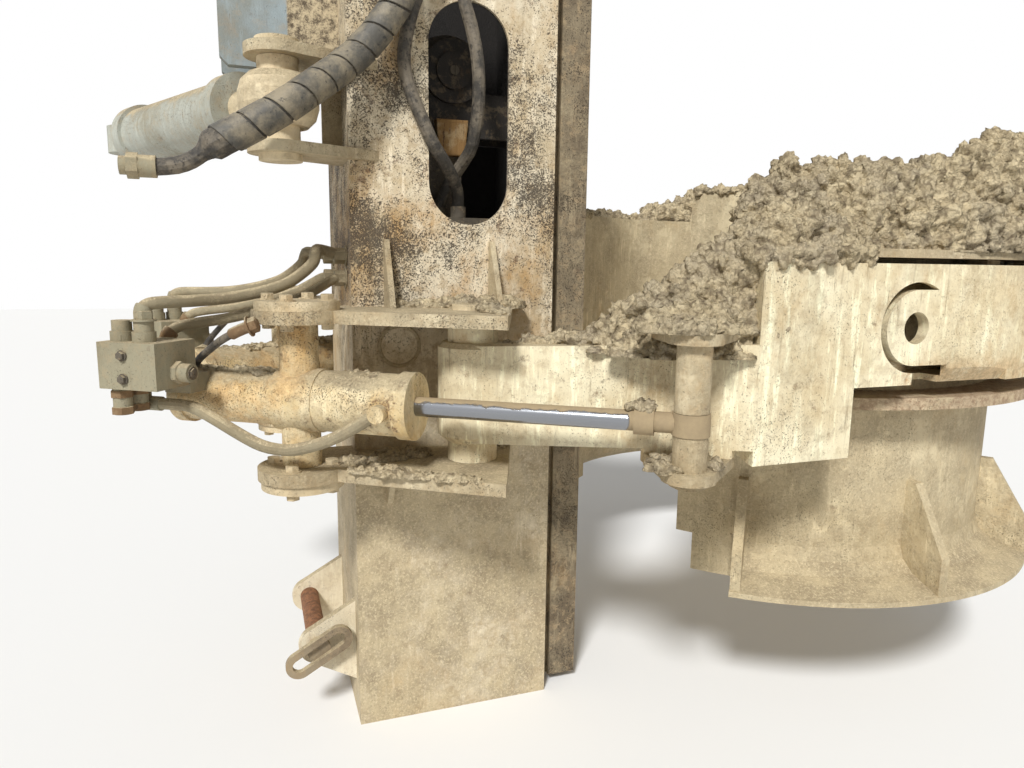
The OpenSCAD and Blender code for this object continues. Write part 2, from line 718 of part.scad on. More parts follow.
module valve_block() {
  block = [-tube_back - 40, -230, 43];
  color("#9a957c") cylinder_frame() {
    translate(block) cube([150, 130, 104]);
    difference() {
      translate([-tube_back + 34, -115, 20]) cube([70, 70, 44]);
      translate([-tube_back, 0, 0]) rotate([0, 90, 0]) cylinder(d = tube_dia + 0.2, h = 150);
    }
    for (x = [34, 92]) translate(block + [x, 40, 100]) {
      cylinder(d = 50, h = 26);
      translate([0, 0, 26]) cylinder(d = 42, h = 24);
    }
    for (z = [34, 74]) translate(block + [z < 50 ? 146 : -26, 66, z]) rotate([0, 90, 0])
      cylinder(d = 42, h = z < 50 ? 44 : 30);
    for (y = [34, 84]) translate(block + [28, y, -62]) cylinder(d = 40, h = 66);
    translate([-tube_back - 26, -112, -9]) cylinder(d = 30, h = 60);
    translate([-tube_back - 41, -112, -9]) rotate([0, 90, 0]) cylinder(d = 34, h = 61);
  }
}

module barrel_hose() {
  color("#a39a80") cylinder_frame() hose(barrel_route);
}

module rod() {
  tail = 800;
  cylinder_frame() {
    color("#b8bcc0") rotate([0, 90, 0]) translate([0, 0, reach - tail])
      cylinder(d = rod_dia, h = tail - eye_r + 6);
    color("#a89c84") translate([reach, 0, -eye_h / 2]) cylinder(r = eye_r, h = eye_h);
    color("#a89c84") translate([reach - eye_r - 78, 0, 0]) rotate([0, 90, 0]) cylinder(d = 60, h = 42);
  }
}

// Stay between the mast and the carriage, drawn on X from its clevis pin

module stay_frame() {
  translate([stay_pin[0], stay_pin[1], stay_z]) rotate([0, 0, 180 - stay_angle]) children();
}

module stay_cylinder() {
  color("#c4c8c6") stay_frame() difference() {
    union() {
      rotate([0, 90, 0]) translate([0, 0, 190]) cylinder(d = stay_dia, h = stay_l - 190 - 100);
      for (x = [160, stay_l - 150]) rotate([0, 90, 0]) translate([0, 0, x])
        cylinder(r = stay_ring, h = 50);
      translate([stay_l - 110, -35, -40]) cube([110, 70, 80]);
      translate([stay_l, 0, -40]) cylinder(r = 62, h = 80);
    }
    translate([stay_l, 0, -41]) cylinder(d = stay_pin_dia, h = 82);
    rotate([0, 90, 0]) translate([0, 0, 159]) cylinder(r = 45 + run, h = 52);
    rotate([0, 90, 0]) translate([0, 0, 210]) cylinder(r = stay_dia / 2 - 12, h = stay_l - 210 - 160);
  }
}

module stay_rod() {
  dome = 92;
  color("#9d9786") stay_frame() difference() {
    union() {
      rotate([0, 90, 0]) translate([0, 0, 40]) cylinder(r = 45, h = 340);
      rotate_extrude() polygon([[0, -58], [66, -58], [84, -40], [dome, -14], [dome, 14], [84, 40],
        [66, 58], [0, 58]]);
      translate([0, 0, -stay_gap / 2 + gap]) cylinder(r = 47, h = stay_gap - 2 * gap);
    }
    translate([0, 0, -stay_gap / 2]) cylinder(r = stay_pin_dia / 2 + run, h = stay_gap);
  }
}

translate([0, 0, -mast_h]) {
  sided(-1) side_plate();  // side_plate_near
  sided(1) side_plate();  // side_plate_far
  end_plate(box_x - mast_t);  // front_plate
  end_plate(-box_x);  // rear_plate
  guide_rails();
  joint_flange();
  foot_plate();
  sided(-1) bracket();  // bracket_near
  sided(1) bracket();  // bracket_far
  sided(-1) trunnion_caps();  // trunnion_caps_near
  sided(1) trunnion_caps();  // trunnion_caps_far
  sided(-1) hinge_pin();  // hinge_pin_near
  sided(1) hinge_pin();  // hinge_pin_far
  stay_clevis();
  stay_pin_piece();  // stay_pin
  rear_bracket();
  foot_lugs();
  foot_pin();
  sheave_frame();
  sheave();
  hose_header();
  color("#4c4b48") hose(bundle_route, 2);  // hose_bundle
  hose_coupling();
  color("#5c554b") {  // window_hoses
    hose(left_route);
    hose(right_route);
  }
  sided(-1) beam();  // beam_near
  sided(-1) frame();  // frame_near
  sided(-1) shell();  // shell_near
  sided(-1) hopper();  // hopper_near
  sided(-1) ledge();  // ledge_near
  sided(-1) lugs();  // lugs_near
  sided(-1) rod_pin();  // rod_pin_near
  sided(1) beam();  // beam_far
  sided(1) frame();  // frame_far
  sided(1) shell();  // shell_far
  sided(1) hopper();  // hopper_far
  sided(1) ledge();  // ledge_far
  sided(1) lugs();  // lugs_far
  sided(1) rod_pin();  // rod_pin_far
  sided(-1) opening_cylinder();  // cylinder_near
  sided(-1) valve_block();  // valve_block_near
  sided(-1) barrel_hose();  // barrel_hose_near
  sided(-1) rod();  // rod_near
  sided(1) opening_cylinder();  // cylinder_far
  sided(1) valve_block();  // valve_block_far
  sided(1) barrel_hose();  // barrel_hose_far
  sided(1) rod();  // rod_far
  stay_cylinder();
  stay_rod();
}
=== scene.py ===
import math
import random

import bpy
from mathutils import Euler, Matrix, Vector


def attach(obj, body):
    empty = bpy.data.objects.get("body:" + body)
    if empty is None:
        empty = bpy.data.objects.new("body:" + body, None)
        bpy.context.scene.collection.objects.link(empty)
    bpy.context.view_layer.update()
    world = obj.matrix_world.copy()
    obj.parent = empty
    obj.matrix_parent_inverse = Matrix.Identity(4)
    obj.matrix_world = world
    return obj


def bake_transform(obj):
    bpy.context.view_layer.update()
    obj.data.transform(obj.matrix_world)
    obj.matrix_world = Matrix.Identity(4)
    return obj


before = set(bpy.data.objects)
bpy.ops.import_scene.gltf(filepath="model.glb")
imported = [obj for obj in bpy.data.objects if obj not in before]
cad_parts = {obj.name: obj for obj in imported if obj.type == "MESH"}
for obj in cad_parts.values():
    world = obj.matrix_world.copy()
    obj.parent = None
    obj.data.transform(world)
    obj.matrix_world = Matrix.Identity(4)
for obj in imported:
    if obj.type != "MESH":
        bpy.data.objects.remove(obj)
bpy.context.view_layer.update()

# Camera at the height of an eye on the ground, beside the foot of the mast, looking a little
# forward and down.
camera_data = bpy.data.cameras.new("camera")
camera_data.lens = 25.73
camera_data.clip_start, camera_data.clip_end = 0.05, 60
camera = bpy.data.objects.new("camera", camera_data)
bpy.context.scene.collection.objects.link(camera)
camera.location = (-0.5116, -2.142, -1.078)
camera.rotation_mode = "QUATERNION"
camera.rotation_quaternion = (
    Euler((0, 0, math.radians(-19.49))).to_quaternion()
    @ Euler((math.radians(90 - 9.18), 0, 0)).to_quaternion()
    @ Euler((0, 0, math.radians(0.727))).to_quaternion()
)
bpy.context.scene.camera = camera
bpy.context.scene.view_settings.view_transform = "Standard"

# Hose bundle from the header under the joint flange to the screwed coupling behind the mast.
# Two pressure hoses in one sleeve, held in by a spiral of black plastic strap, 3.5 mm thick.
foot = -2.350


def at(x, y, z):
    """A point written in mm above the foot, in the frame in metres."""
    return (x / 1000, y / 1000, z / 1000 + foot)


def metres(points):
    """A list of such points, in the frame in metres."""
    return [at(*point) for point in points]


def smooth(points, steps):
    """The points of a rounded line through the given ones, with so many steps for each stretch."""
    line = []
    for i in range(len(points) - 1):
        a, b, c, d = (Vector(points[min(max(i + k, 0), len(points) - 1)]) for k in (-1, 0, 1, 2))
        for j in range(steps):
            t = j / steps
            line.append(0.5 * (2 * b + (c - a) * t + (2 * a - 5 * b + 4 * c - d) * t ** 2
                               + (3 * b - a - 3 * c + d) * t ** 3))
    return line + [Vector(points[-1])]


def length(line):
    """How long a line is, in metres."""
    return sum((Vector(b) - Vector(a)).length for a, b in zip(line, line[1:]))


bundle_route = metres([
    (-105, -318, 2180), (-105, -318, 2120), (-110, -318, 2050), (-125, -318, 1970),
    (-160, -318, 1885), (-182, -318, 1848), (-220, -322, 1796), (-263, -330, 1748),
    (-311, -350, 1704), (-363, -378, 1661), (-411, -402, 1621), (-464, -410, 1584),
    (-516, -410, 1553), (-556, -408, 1530), (-580, -406, 1516), (-590, -405, 1508),
    (-602, -404, 1498), (-622, -402, 1484), (-652, -400, 1472), (-690, -400, 1467)])


def colour(red, green, blue):
    """A colour as a screen shows it, 0 to 255, as the shader's linear numbers."""
    parts = [value / 255 for value in (red, green, blue)]
    return [p / 12.92 if p < 0.04045 else ((p + 0.055) / 1.055) ** 2.4 for p in parts] + [1]


def put(tree, kind, sockets=None, **settings):
    """Adds a shader node, with values or links for its sockets by name or number."""
    made = tree.nodes.new("ShaderNode" + kind)
    for key, value in settings.items():
        setattr(made, key, value)
    for key, value in (sockets or {}).items():
        if isinstance(value, bpy.types.NodeSocket):
            tree.links.new(value, made.inputs[key])
        else:
            made.inputs[key].default_value = value
    return made


def cloud(tree, scale, detail, rough=0.6, stretch=(1, 1, 1)):
    """Noise in the object's own place, stretched where a finish runs one way."""
    place = put(tree, "TexCoord").outputs["Object"]
    place = put(tree, "Mapping", {"Vector": place, "Scale": stretch}).outputs[0]
    return put(tree, "TexNoise", {"Vector": place, "Scale": scale, "Detail": detail,
                                  "Roughness": rough}).outputs["Fac"]


def band(tree, value, low, high, most=1.0):
    """0 below low, most above high, and a soft step between them."""
    return put(tree, "MapRange", {"Value": value, "From Min": low, "From Max": high,
                                  "To Min": 0, "To Max": most},
               interpolation_type="SMOOTHSTEP").outputs[0]


def times(tree, a, b):
    return put(tree, "Math", {0: a, 1: b}, operation="MULTIPLY").outputs[0]


def plus(tree, a, b):
    return put(tree, "Math", {0: a, 1: b}, operation="ADD").outputs[0]


def larger(tree, a, b):
    return put(tree, "Math", {0: a, 1: b}, operation="MAXIMUM").outputs[0]


def over(tree, share, under, top):
    """One colour laid over another."""
    made = put(tree, "Mix", {0: share}, data_type="RGBA")
    for number, value in ((6, under), (7, top)):
        if isinstance(value, bpy.types.NodeSocket):
            tree.links.new(value, made.inputs[number])
        else:
            made.inputs[number].default_value = value
    return made.outputs[2]


def relief(tree, height, depth):
    """Bump from a height between 0 and 1, as deep as depth in metres."""
    return put(tree, "Bump", {"Height": height, "Distance": depth, "Strength": 1.0}).outputs[0]


def finish(name, roughness, metal=0.0):
    """A new material with its shader node and tree."""
    material = bpy.data.materials.new(name)
    material.use_nodes = True
    tree = material.node_tree
    shader = tree.nodes["Principled BSDF"]
    shader.inputs["Roughness"].default_value = roughness
    shader.inputs["Metallic"].default_value = metal
    return material, tree, shader


def dress(material, *names):
    """Gives CAD nodes their finish."""
    for name in names:
        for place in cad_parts[name].material_slots:
            place.material = material


def coat(made, material):
    """Gives a piece of this script its finish."""
    made.data.materials.clear()
    made.data.materials.append(material)


rubber, tree, shader = finish("dusty_rubber", 0.7)
dust = band(tree, cloud(tree, 14, 8, 0.7), 0.42, 0.62, 0.9)
face = over(tree, dust, colour(62, 58, 52), colour(122, 112, 96))
face = over(tree, band(tree, cloud(tree, 90, 4), 0.56, 0.64, 0.7), face, colour(38, 34, 30))
tree.links.new(face, shader.inputs["Base Color"])
tree.links.new(relief(tree, cloud(tree, 160, 5), 0.002), shader.inputs["Normal"])
dress(rubber, "hose_bundle", "window_hoses")


def polyline(name, line):
    """A curve with straight stretches between the points of a line."""
    curve = bpy.data.curves.new(name, "CURVE")
    curve.dimensions = "3D"
    spline = curve.splines.new("POLY")
    spline.points.add(len(line) - 1)
    for point, place in zip(spline.points, line):
        point.co = (*place, 1)
    made = bpy.data.objects.new(name, curve)
    bpy.context.scene.collection.objects.link(made)
    return made


def sweep(name, line, radius, material):
    """A round mesh tube along a line, made from a bevelled curve."""
    bpy.ops.object.select_all(action="DESELECT")
    made = polyline(name, line)
    made.data.bevel_depth = radius
    made.data.bevel_resolution = 4
    made.data.use_fill_caps = True
    made.select_set(True)
    bpy.context.view_layer.objects.active = made
    bpy.ops.object.convert(target="MESH")
    bpy.ops.object.shade_smooth()
    made = bpy.context.view_layer.objects.active
    coat(made, material)
    return made


def apply_all(made):
    """Applies the modifiers of a piece, in their order."""
    bpy.ops.object.select_all(action="DESELECT")
    made.select_set(True)
    bpy.context.view_layer.objects.active = made
    for modifier in list(made.modifiers):
        bpy.ops.object.modifier_apply(modifier=modifier.name)


# Spiral strap round the bundle: a flat band of black plastic, wound on by hand with a thin gap
# between the turns and grey with dust.
strap_pitch, strap_gap, strap_radius, strap_thick = 0.066, 0.005, 0.035, 0.0035
strap_line = smooth(bundle_route[:17], 4)
strap_turns = int(length(strap_line) / strap_pitch)
bpy.ops.object.select_all(action="DESELECT")
bpy.ops.mesh.primitive_plane_add(size=1, location=(strap_radius, 0, 0))
strap = bpy.context.view_layer.objects.active
strap.name = "spiral_strap"
bpy.ops.object.mode_set(mode="EDIT")
bpy.ops.transform.rotate(value=math.pi / 2, orient_axis="X", center_override=(strap_radius, 0, 0))
bpy.ops.transform.resize(value=(strap_thick, 1, strap_pitch - strap_gap),
                         center_override=(strap_radius, 0, 0))
bpy.ops.mesh.bevel(offset=0.0012, segments=1, affect="VERTICES")
bpy.ops.mesh.delete(type="ONLY_FACE")
bpy.ops.object.mode_set(mode="OBJECT")
bpy.ops.object.transform_apply(location=True, rotation=True, scale=True)
screw = strap.modifiers.new("turns", "SCREW")
screw.axis = "Z"
screw.angle = 2 * math.pi * strap_turns
screw.screw_offset = strap_pitch * strap_turns
screw.steps = screw.render_steps = 28 * strap_turns
screw.use_merge_vertices = False
apply_all(strap)
spine = polyline("spine", strap_line)
bend = strap.modifiers.new("bend", "CURVE")
bend.object = spine
bend.deform_axis = "POS_Z"
apply_all(strap)
bpy.data.objects.remove(spine)
bpy.ops.object.mode_set(mode="EDIT")
bpy.ops.mesh.select_all(action="SELECT")
bpy.ops.mesh.fill_holes(sides=0)
bpy.ops.mesh.normals_make_consistent(inside=False)
bpy.ops.object.mode_set(mode="OBJECT")
bpy.ops.object.shade_smooth_by_angle(angle=math.radians(40))
wrap, tree, shader = finish("dusty_strap", 0.6)
dust = band(tree, cloud(tree, 11, 9, 0.72), 0.4, 0.66, 0.85)
face = over(tree, dust, colour(80, 77, 70), colour(150, 138, 114))
face = over(tree, band(tree, cloud(tree, 70, 6, 0.7), 0.58, 0.66, 0.8), face, colour(46, 45, 43))
tree.links.new(face, shader.inputs["Base Color"])
tree.links.new(relief(tree, cloud(tree, 120, 6), 0.0015), shader.inputs["Normal"])
coat(strap, wrap)
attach(strap, "mast")

# Floor under the foot, which isn't part of the object: a plain pale plane with a smooth matt
# finish, 40 m across.
bpy.ops.object.select_all(action="DESELECT")
bpy.ops.mesh.primitive_plane_add(size=40, location=(0, 0, foot))
floor = bpy.context.view_layer.objects.active
floor.name = "floor"
bpy.ops.object.transform_apply(location=True, rotation=True, scale=True)
pale, tree, shader = finish("pale_floor", 0.9)
shader.inputs["Base Color"].default_value = (0.82, 0.82, 0.81, 1)
coat(floor, pale)

# Soft plain light: a large high key from the left, behind the camera, and an even sky that is
# white where the camera sees it.
key_data = bpy.data.lights.new("key", "SUN")
key_data.energy = 3.5
key_data.angle = math.radians(10)
key = bpy.data.objects.new("key", key_data)
bpy.context.scene.collection.objects.link(key)
key.rotation_euler = Vector((0.62, 0.9, -1.0)).to_track_quat("-Z", "Y").to_euler()
world = bpy.data.worlds.new("sky")
bpy.context.scene.world = world
world.use_nodes = True
tree = world.node_tree
rays = put(tree, "LightPath")
seen = larger(tree, rays.outputs["Is Camera Ray"], rays.outputs["Is Glossy Ray"])
seen = larger(tree, seen, rays.outputs["Is Transmission Ray"])
sky = tree.nodes["Background"]
tree.links.new(over(tree, seen, (0.39, 0.385, 0.375, 1), (1, 1, 1, 1)), sky.inputs["Color"])

# Mast box: two side plates with an oblong window each, a front and a rear plate, welded at the
# corners. Cream paint under years of slurry: black specks, ochre runs and dried mud low down.


def weathered(name, paint, stain, speck, streak, rust, mud, low=None, shaded_inside=None, runs=None):
    """Old paint on plate steel. Each share from 0 to 1 says how much of that wear it has.
    Below the heights low, in metres above the foot, the specks give way to dried mud. Closer to
    the middle than the inside limits, in metres along X and Y, faces are near black: painted shade
    inside the box. Between the heights runs, above the foot, rust and specks gather."""
    material, tree, shader = finish(name, 0.8)
    across, aside, up = put(tree, "SeparateXYZ",
                            {0: put(tree, "TexCoord").outputs["Object"]}).outputs[:3]
    grain = cloud(tree, 260, 4, 0.7)
    face = over(tree, band(tree, cloud(tree, 3.1, 9, 0.7), 0.36, 0.66), paint, stain)

    # Runs of slurry down the plate, pale ones and dark ones.
    pale_runs = times(tree, band(tree, cloud(tree, 9, 8, 0.7, (5, 5, 0.7)), 0.5, 0.68), streak)
    face = over(tree, pale_runs, face, [min(1, part * 1.3) for part in paint[:3]] + [1])
    dark_runs = times(tree, band(tree, cloud(tree, 12, 8, 0.75, (6, 6, 0.45)), 0.56, 0.74), streak)
    face = over(tree, dark_runs, face, colour(112, 92, 66))

    # Ochre stains, brown rust and a fine tan mottle.
    gather = 0.0
    if runs is not None:
        gather = times(tree, band(tree, up, foot + runs[0] - 0.06, foot + runs[0] + 0.04),
                       band(tree, up, foot + runs[1] + 0.1, foot + runs[1] - 0.16))
    ochre = plus(tree, cloud(tree, 4.4, 8, 0.75, (1.2, 1.2, 0.8)), times(tree, gather, 0.07))
    ochre = band(tree, ochre, 0.56 - 0.1 * rust, 0.72, rust)
    face = over(tree, ochre, face, colour(176, 132, 66))
    brown = times(tree, band(tree, cloud(tree, 23, 9, 0.8), 0.6 - 0.06 * rust, 0.66), rust)
    face = over(tree, brown, face, colour(86, 52, 30))
    mottle = band(tree, cloud(tree, 34, 8, 0.75), 0.5, 0.62, 0.75 * speck)
    face = over(tree, mottle, face, colour(170, 148, 114))

    # Black specks and larger blots, where the paint has come off.
    patches = band(tree, cloud(tree, 2.6, 8, 0.75), 0.34, 0.66, 0.22 * speck)
    patches = plus(tree, patches, 0.045 * speck)
    patches = plus(tree, times(tree, gather, 0.03), patches)
    if low is not None:
        patches = times(tree, patches, put(tree, "MapRange", {
            "Value": up, "From Min": foot + low[0], "From Max": foot + low[1] + 0.25,
            "To Min": 0.25, "To Max": 1.25}).outputs[0])
    spots = plus(tree, cloud(tree, 300, 4, 0.7), patches)
    blots = plus(tree, cloud(tree, 96, 9, 0.85), patches)
    dark = larger(tree, band(tree, spots, 0.69, 0.76), band(tree, blots, 0.77, 0.83))
    face = over(tree, times(tree, dark, 0.88), face, colour(52, 42, 33))

    # Dried mud on upper faces, in crusts, and all over low down.
    normal = put(tree, "SeparateXYZ", {0: put(tree, "NewGeometry").outputs["Normal"]}).outputs[2]
    cake = band(tree, plus(tree, normal, cloud(tree, 20, 7, 0.7)), 0.95, 1.25)
    crust = band(tree, cloud(tree, 7, 9, 0.75), 0.62 - 0.3 * mud, 0.74 - 0.25 * mud)
    cake = larger(tree, cake, times(tree, crust, mud))
    if low is not None:
        down = put(tree, "MapRange", {"Value": up, "From Min": foot + low[1],
                                      "From Max": foot + low[0]}, clamp=True).outputs[0]
        down = times(tree, down, band(tree, cloud(tree, 6, 8, 0.7), 0.2, 0.6))
        cake = larger(tree, cake, down)
    earth = over(tree, band(tree, cloud(tree, 9, 8, 0.75), 0.38, 0.62),
                 colour(196, 179, 144), colour(160, 144, 116))
    earth = over(tree, band(tree, cloud(tree, 150, 5, 0.8), 0.5, 0.6, 0.75), earth,
                 colour(222, 206, 168))
    earth = over(tree, band(tree, cloud(tree, 105, 7, 0.85), 0.55, 0.63, 0.7), earth,
                 colour(122, 106, 82))
    face = over(tree, times(tree, cake, 0.9), face, earth)

    # Painted shade inside the box: the inner faces are near black with a faint mottle, standing in
    # for the shade there.
    if shaded_inside is not None:
        outside = [band(tree, put(tree, "Math", {0: value}, operation="ABSOLUTE").outputs[0],
                        limit - 0.004, limit)
                   for value, limit in ((across, shaded_inside[0]), (aside, shaded_inside[1]))]
        inside_shade_tone = over(tree, cloud(tree, 18, 8, 0.75), colour(20, 18, 16), colour(46, 40, 34))
        face = over(tree, larger(tree, *outside), inside_shade_tone, face)
    tree.links.new(face, shader.inputs["Base Color"])

    sand = times(tree, cake, plus(tree, cloud(tree, 130, 6, 0.8), 0.4))
    height = plus(tree, times(tree, dark, 0.5), times(tree, grain, 0.35))
    tree.links.new(relief(tree, plus(tree, height, sand), 0.0032), shader.inputs["Normal"])
    return material


# The mast's inner faces, inside 0.268 m along X and 0.238 m along Y, are near black painted shade.
cream = weathered("cream_plate", colour(226, 214, 188), colour(192, 172, 136), 0.85, 0.75, 0.75,
                  0.3, (0.72, 1.1), shaded_inside=(0.268, 0.238), runs=(1.16, 1.45))
dress(cream, "side_plate_near", "side_plate_far", "front_plate", "rear_plate", "joint_flange")

# Steel inside and under the mast: the foot plate and the turned sheave, dark grey-brown, the
# sheave's welded frame, near black, and the hose header, a bare steel block.
dark_steel = weathered("dark_grey_steel", colour(92, 84, 72), colour(62, 55, 46), 0.5, 0.4, 0.4, 0.2)
dress(dark_steel, "foot_plate", "sheave")
black = weathered("black_steel", colour(44, 39, 33), colour(28, 25, 21), 0.3, 0.3, 0.3, 0.05)
dress(black, "sheave_frame")
header = weathered("header_steel", colour(92, 84, 70), colour(66, 59, 49), 0.5, 0.3, 0.4, 0.2)
dress(header, "hose_header")

# Guide rails down the front of the mast: bare rolled bars on a narrower web, welded to the front
# plate and polished brown by use.
rail = weathered("rail_bar", colour(148, 134, 108), colour(98, 85, 66), 0.75, 0.9, 0.35, 0.45)
dress(rail, "guide_rails")

# Hinge brackets, clevis and lugs: thick plate cut to shape and welded on, with soil dried on
# their upper faces, and turned caps and pins.
plate = weathered("bracket_plate", colour(206, 192, 160), colour(160, 140, 106),
                  0.7, 0.45, 0.6, 0.7)
dress(plate, "bracket_near", "bracket_far", "stay_clevis", "lugs_near", "lugs_far",
      "ledge_near", "ledge_far", "rod_pin_near", "rod_pin_far")
cap = weathered("cap_steel", colour(230, 213, 178), colour(196, 177, 141), 0.5, 0.2, 0.4, 0.6)
dress(cap, "trunnion_caps_near", "trunnion_caps_far", "hinge_pin_near", "hinge_pin_far", "stay_pin")

# Arm and side frame of the guide: welded boxes, cream paint with pale and tan runs of slurry, and
# rust along the frame's lower edge.


def overlay(material, limits, tones, most=1.0, gaps=(0.0, 0.01)):
    """Lays blotches of two tones over a material. Each limit names an axis and four places on it,
    in metres: the layer rises between the first two and ends between the last two. The higher the
    gaps, the less of the layer is left."""
    tree = material.node_tree
    shader = tree.nodes["Principled BSDF"]
    place = put(tree, "SeparateXYZ", {0: put(tree, "TexCoord").outputs["Object"]}).outputs
    share = band(tree, cloud(tree, 9, 8, 0.75), gaps[0], gaps[1], most)
    for axis, start, full, last, end in limits:
        share = times(tree, share, band(tree, place[axis], start, full))
        share = times(tree, share, band(tree, place[axis], end, last))
    painted = shader.inputs["Base Color"].links[0].from_socket
    top = over(tree, band(tree, cloud(tree, 60, 9, 0.85), 0.42, 0.6), *tones)
    tree.links.new(over(tree, share, painted, top), shader.inputs["Base Color"])


arm = weathered("arm_paint", colour(232, 222, 190), colour(204, 186, 148), 0.45, 0.95, 0.6, 0.4)
dress(arm, "beam_near", "beam_far")
frame_paint = weathered("frame_paint", colour(234, 224, 192), colour(206, 188, 150),
                        0.45, 0.95, 0.6, 0.4)
dress(frame_paint, "frame_near", "frame_far")
overlay(frame_paint,
        [(0, 0.88, 0.96, 9, 10), (2, foot + 0.9, foot + 0.95, foot + 1.03, foot + 1.08)],
        (colour(178, 124, 66), colour(112, 74, 42)), 0.85, (0.4, 0.6))
overlay(frame_paint, [(0, 0.92, 1.08, 9, 10)],
        (colour(220, 202, 162), colour(182, 160, 120)), 0.6, (0.3, 0.6))

# Guide wall and bell: rolled plate with welded gussets, tan with slurry inside and out, and a
# ring flange whose edge is brown with rust.
bell = weathered("bell_plate", colour(214, 199, 164), colour(182, 165, 130), 0.5, 0.6, 0.45, 0.7)
dress(bell, "shell_near", "shell_far", "hopper_near", "hopper_far")
overlay(bell, [(2, foot + 0.9275, foot + 0.929, foot + 0.961, foot + 0.9625)],
        (colour(190, 168, 138), colour(140, 110, 84)), 0.8, (0.3, 0.5))

# Opening cylinders: welded tubes, cream paint stained orange where oil and slurry ran, and valve
# blocks of cast iron with a film of olive dust.
tube_paint = weathered("tube_paint", colour(226, 212, 176), colour(200, 172, 118),
                       0.6, 0.4, 0.95, 0.45)
dress(tube_paint, "cylinder_near", "cylinder_far")
overlay(tube_paint, [(0, -10, -9, -0.46, -0.34)], (colour(230, 194, 138), colour(190, 152, 100)),
        0.7, (0.42, 0.62))
block = weathered("block_iron", colour(148, 141, 117), colour(124, 116, 94), 0.35, 0.3, 0.25, 0.35)
dress(block, "valve_block_near", "valve_block_far", "hose_coupling")
sleeve = weathered("hose_sleeve", colour(150, 140, 114), colour(128, 116, 90), 0.2, 0.1, 0.1, 0.5)
dress(sleeve, "barrel_hose_near", "barrel_hose_far")

# Rods of the opening cylinders: chromed bar, bright and scratched, with dried soil along the top
# and all over the eye. The eye starts at eye_start, in metres along X.
eye_start = 0.226
chrome, tree, shader = finish("chromed_rod", 0.16, 1.0)
scratches = cloud(tree, 60, 4)
normal = put(tree, "SeparateXYZ", {0: put(tree, "NewGeometry").outputs["Normal"]}).outputs[2]
cake = band(tree, plus(tree, normal, cloud(tree, 26, 8, 0.75)), 1.05, 1.2)
earth = over(tree, cloud(tree, 40, 8, 0.75), colour(178, 158, 122), colour(128, 112, 90))
forward = put(tree, "SeparateXYZ", {0: put(tree, "TexCoord").outputs["Object"]}).outputs[0]
cake = larger(tree, cake, band(tree, forward, eye_start, eye_start + 0.003))
tree.links.new(over(tree, cake, (0.3, 0.31, 0.33, 1), earth), shader.inputs["Base Color"])
tree.links.new(put(tree, "Math", {0: 1.0, 1: cake}, operation="SUBTRACT").outputs[0],
               shader.inputs["Metallic"])
tree.links.new(put(tree, "MapRange", {"Value": cake, "To Min": 0.18, "To Max": 0.95}).outputs[0],
               shader.inputs["Roughness"])
tree.links.new(relief(tree, plus(tree, cake, times(tree, scratches, 0.05)), 0.003),
               shader.inputs["Normal"])
dress(chrome, "rod_near", "rod_far")

# Stay: a grey cylinder with a cream rod end, pinned in the clevis behind the mast. The bracket
# above it is plate in pale blue paint, caked with slurry next to the mast.
stay = weathered("stay_paint", colour(172, 174, 163), colour(138, 131, 110), 0.4, 0.5, 0.3, 0.25)
dress(stay, "stay_cylinder")
dress(cap, "stay_rod")
blue = weathered("bracket_blue", colour(150, 163, 168), colour(132, 136, 130), 0.3, 0.4, 0.3, 0.1)
dress(blue, "rear_bracket")
overlay(blue, [(0, -0.404, -0.398, 9, 10)], (colour(196, 180, 148), colour(84, 72, 56)))

# Foot lugs: two plates welded on behind the foot, almost white, with a rusty pin between them
# and its handle of grey steel.
pale_lug = weathered("lug_paint", colour(232, 222, 198), colour(208, 194, 164), 0.4, 0.5, 0.4, 0.2)
dress(pale_lug, "foot_lugs")
handle = weathered("handle_steel", colour(146, 132, 108), colour(112, 96, 74), 0.4, 0.2, 0.4, 0.05)
dress(handle, "foot_pin")
overlay(handle, [(1, -0.152, -0.150, 0.3, 0.31)], (colour(150, 104, 70), colour(104, 70, 48)))

# Soil that has fallen on the steel and dried there: crumbly, grey and tan, in heaps on the arms,
# the ledges and the bracket plates, with painted shade in the crevices between its crumbs.
soil, tree, shader = finish("dried_soil", 1.0)
place = put(tree, "TexCoord").outputs["Object"]
wander = put(tree, "TexNoise", {"Vector": place, "Scale": 60, "Detail": 3}).outputs["Color"]
place = put(tree, "VectorMath", {0: wander, 1: (0.02, 0.02, 0.02), 2: place},
            operation="MULTIPLY_ADD").outputs[0]
clods = put(tree, "TexVoronoi", {"Vector": place, "Scale": 44})
crumbs = put(tree, "TexVoronoi", {"Vector": place, "Scale": 105})
shade = put(tree, "SeparateColor", {0: clods.outputs["Color"]}).outputs[0]
face = over(tree, shade, colour(196, 178, 144), colour(232, 214, 176))
face = over(tree, band(tree, cloud(tree, 7, 8, 0.7), 0.45, 0.65, 0.55), face, colour(176, 165, 146))
face = over(tree, band(tree, cloud(tree, 90, 8, 0.8), 0.5, 0.64, 0.7), face, colour(244, 228, 190))
# Painted shade: darker between the crumbs, and darker still between the clods, where shade falls.
face = over(tree, band(tree, crumbs.outputs["Distance"], 0.5, 0.8, 0.45), face,
            colour(124, 108, 86))
face = over(tree, band(tree, clods.outputs["Distance"], 0.56, 0.85, 0.6), face, colour(104, 90, 72))
tree.links.new(face, shader.inputs["Base Color"])
grit = plus(tree, clods.outputs["Distance"], times(tree, crumbs.outputs["Distance"], 0.5))
grit = put(tree, "Math", {0: times(tree, cloud(tree, 160, 6, 0.75), 0.7), 1: grit},
           operation="SUBTRACT").outputs[0]
tree.links.new(relief(tree, grit, 0.013), shader.inputs["Normal"])
shader.inputs["Specular IOR Level"].default_value = 0.1


